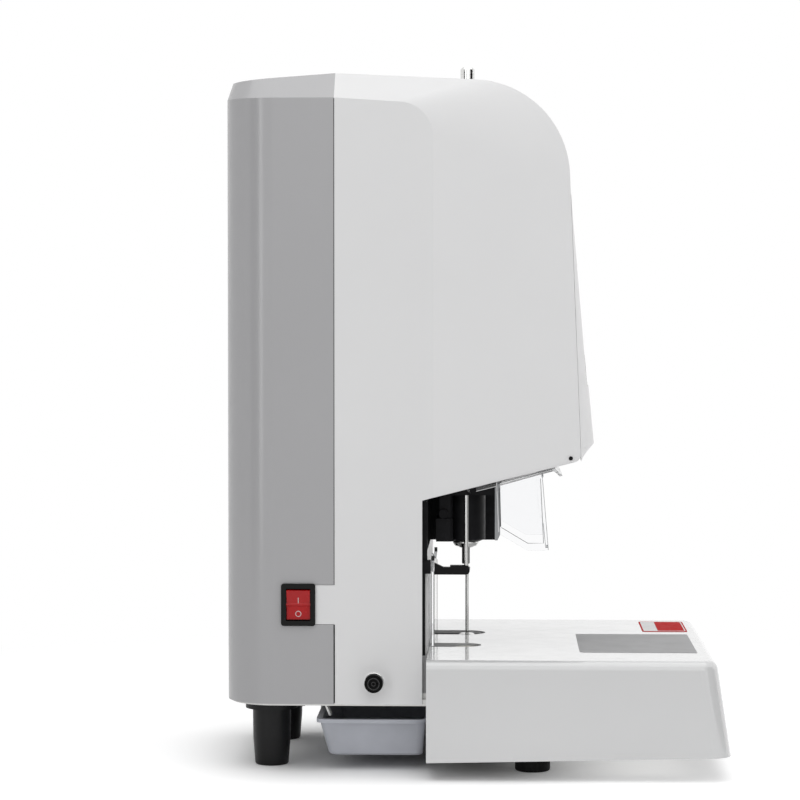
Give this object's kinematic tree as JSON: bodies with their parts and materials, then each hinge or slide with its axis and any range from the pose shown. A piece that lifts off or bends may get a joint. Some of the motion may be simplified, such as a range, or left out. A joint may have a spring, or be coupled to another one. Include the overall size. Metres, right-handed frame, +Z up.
{
  "type": "document riveting machine",
  "caption": "Desk machine that drills a sheet stack and closes a plastic tube rivet in the hole; tall column, overhanging head, low work table, clear finger guard and chip tray.",
  "frame": {"origin": "on the desk, under the centre of the machine's outer box", "axes": "+X towards the operator, -Y towards the power switch, +Z up"},
  "size_m": [0.378, 0.28, 0.5392],
  "materials": {
    "white_paint": "satin powder coat",
    "gray_paint": "satin powder coat",
    "panel_gloss": "smooth moulded panel",
    "bezel_black": "polished moulding",
    "window_tinted": "tinted display window",
    "board_green": "solder mask",
    "steel_plate": "zinc plated sheet",
    "steel_bright": "ground and polished",
    "steel_dark": "black oxide",
    "aluminium_plate": "milled",
    "brass_nut": "turned",
    "motor_black": "stamped can",
    "supply_case": "perforated case",
    "nylon_white": "extruded nylon",
    "pad_plastic": "turned nylon",
    "tray_gray": "moulded",
    "rubber_black": "moulded foot",
    "foot_black": "moulded",
    "switch_black": "moulded",
    "rocker_red": "moulded, clear red",
    "socket_black": "moulded",
    "guard_clear": "bent clear sheet",
    "backstop_clear": "milled clear block",
    "key_gray": "moulded",
    "chute_gray": "moulded"
  },
  "bodies": {
    "machine_frame": {"rear_cover": "gray_paint", "front_cover": "white_paint", "front_panel": "panel_gloss", "control_bezel": "bezel_black", "display_window": "window_tinted", "control_board": "board_green", "base_plate": "steel_plate", "table_cover": "white_paint", "table_frame": "steel_plate", "rear_feet": "foot_black", "table_feet": "rubber_black", "tray_rails": "steel_plate", "column_frame": "steel_plate", "guide_plate": "steel_dark", "foot_plate": "gray_paint", "presser_rail": "steel_bright", "head_plate": "steel_dark", "top_plate": "aluminium_plate", "guide_shafts": "steel_bright", "lift_motors": "motor_black", "screw_bearings": "steel_bright", "feed_tube": "steel_bright", "tube_inlet": "steel_bright", "pad_holder": "steel_bright", "die_post": "steel_bright", "lower_die": "steel_bright", "paper_backstop": "backstop_clear", "switch_housing": "switch_black", "fuse_holder": "steel_bright", "power_socket": "socket_black", "power_supply": "supply_case", "main_board": "board_green", "chip_chute": "chute_gray", "fasteners": "steel_dark"},
    "drill_slide": {"drill_carriage": "aluminium_plate", "drill_nut": "brass_nut", "drill_sleeve": "steel_dark", "drill_motor": "motor_black"},
    "drill_rotor": {"drill_spindle": "steel_bright", "drill_bit": "steel_bright"},
    "drill_screw": {"drill_lead_screw": "steel_bright"},
    "presser": {"presser_foot": "steel_dark", "presser_rods": "steel_bright", "presser_yoke": "aluminium_plate"},
    "rivet_slide": {"rivet_carriage": "aluminium_plate", "rivet_nut": "brass_nut", "rivet_sleeve": "steel_dark", "rivet_die": "steel_bright", "rivet_tube": "nylon_white"},
    "rivet_screw": {"rivet_lead_screw": "steel_bright"},
    "needle": {"guide_needle": "steel_bright", "needle_carrier": "steel_bright"},
    "guard": {"finger_guard": "guard_clear"},
    "rocker": {"switch_rocker": "rocker_red"},
    "tray": {"chip_tray": "tray_gray"},
    "fuse_knob": {"fuse_cap": "switch_black"},
    "key_left": {"key_1": "key_gray"},
    "key_middle": {"key_2": "key_gray"},
    "key_right": {"key_3": "key_gray"},
    "pad_disc": {"drill_pad": "pad_plastic"}
  },
  "joints": [
    {"name": "drill_lift", "type": "slide", "parent": "machine_frame", "child": "drill_slide", "axis": [0, 0, -1], "range_m": [0, 0.062]},
    {"name": "drill_spin", "type": "hinge", "parent": "drill_slide", "child": "drill_rotor", "pos_m": [-0.008, -0.041, 0.2], "axis": [0, 0, 1], "continuous": true},
    {"name": "drill_screw_turn", "type": "hinge", "parent": "machine_frame", "child": "drill_screw", "pos_m": [-0.033, -0.041, 0.3], "axis": [0, 0, 1], "continuous": true},
    {"name": "presser_drop", "type": "slide", "parent": "machine_frame", "child": "presser", "axis": [0, 0, -1], "range_m": [0, 0.053]},
    {"name": "rivet_lift", "type": "slide", "parent": "machine_frame", "child": "rivet_slide", "axis": [0, 0, -1], "range_m": [0, 0.07]},
    {"name": "rivet_screw_turn", "type": "hinge", "parent": "machine_frame", "child": "rivet_screw", "pos_m": [-0.033, 0.041, 0.3], "axis": [0, 0, 1], "continuous": true},
    {"name": "needle_drop", "type": "slide", "parent": "machine_frame", "child": "needle", "axis": [0, 0, -1], "range_m": [0, 0.04], "stiffness_N_per_m": 60, "springref_m": -0.01},
    {"name": "guard_swing", "type": "hinge", "parent": "machine_frame", "child": "guard", "pos_m": [-0.0023, 0, 0.2106], "axis": [0, 1, 0], "range_deg": [0, 30]},
    {"name": "rocker_tilt", "type": "hinge", "parent": "machine_frame", "child": "rocker", "pos_m": [-0.133, -0.099, 0.126], "axis": [1, 0, 0], "range_deg": [-16, 0]},
    {"name": "tray_slide", "type": "slide", "parent": "machine_frame", "child": "tray", "axis": [0, -1, 0], "range_m": [0, 0.18]},
    {"name": "fuse_turn", "type": "hinge", "parent": "machine_frame", "child": "fuse_knob", "pos_m": [-0.076, -0.1, 0.068], "axis": [0, 1, 0], "range_deg": [0, 60]},
    {"name": "key_left_press", "type": "slide", "parent": "machine_frame", "child": "key_left", "axis": [-1, 0, 0], "range_m": [0, 0.0015], "stiffness_N_per_m": 400},
    {"name": "key_middle_press", "type": "slide", "parent": "machine_frame", "child": "key_middle", "axis": [-1, 0, 0], "range_m": [0, 0.0015], "stiffness_N_per_m": 400},
    {"name": "key_right_press", "type": "slide", "parent": "machine_frame", "child": "key_right", "axis": [-1, 0, 0], "range_m": [0, 0.0015], "stiffness_N_per_m": 400},
    {"name": "pad_turn", "type": "hinge", "parent": "machine_frame", "child": "pad_disc", "pos_m": [-0.008, -0.041, 0.084], "axis": [0, 0, 1], "continuous": true}
  ],
  "couplings": [
    {"joint": "drill_screw_turn", "follows": "drill_lift", "rad_per_m": 785.4},
    {"joint": "presser_drop", "follows": "drill_lift", "ratio": 0.85},
    {"joint": "rivet_screw_turn", "follows": "rivet_lift", "rad_per_m": 785.4}
  ]
}
